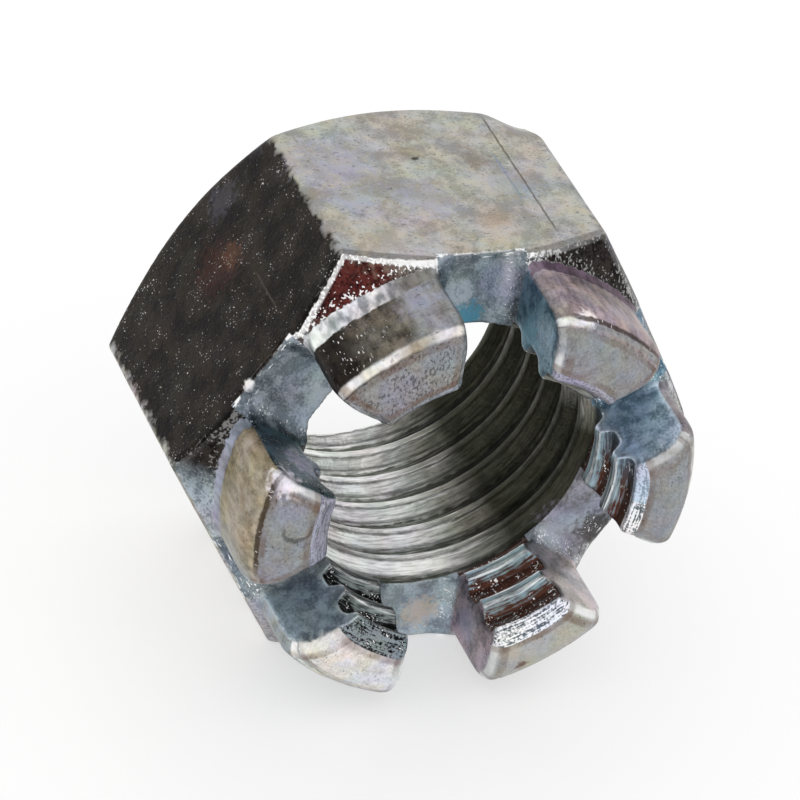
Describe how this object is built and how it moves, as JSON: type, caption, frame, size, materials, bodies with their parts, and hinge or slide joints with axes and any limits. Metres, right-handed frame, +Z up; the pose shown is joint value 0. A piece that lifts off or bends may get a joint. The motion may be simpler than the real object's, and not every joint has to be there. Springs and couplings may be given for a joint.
{
  "type": "castle nut",
  "caption": "Zinc-plated steel castle nut: a chamfered hexagon body with a slotted round crown for a cotter pin, lying on a flat.",
  "frame": {"origin": "on the thread axis, halfway between the bearing face and the prong tips", "axes": "+Y along the thread axis towards the bearing face, the crown faces -Y; +Z up, square to the flat that lies uppermost"},
  "size_m": [0.0402, 0.0266, 0.0348],
  "materials": {
    "zinc_plate": "worn clear zinc plating over forged and turned steel"
  },
  "bodies": {
    "root": {"castle_nut": "zinc_plate"}
  },
  "joints": []
}
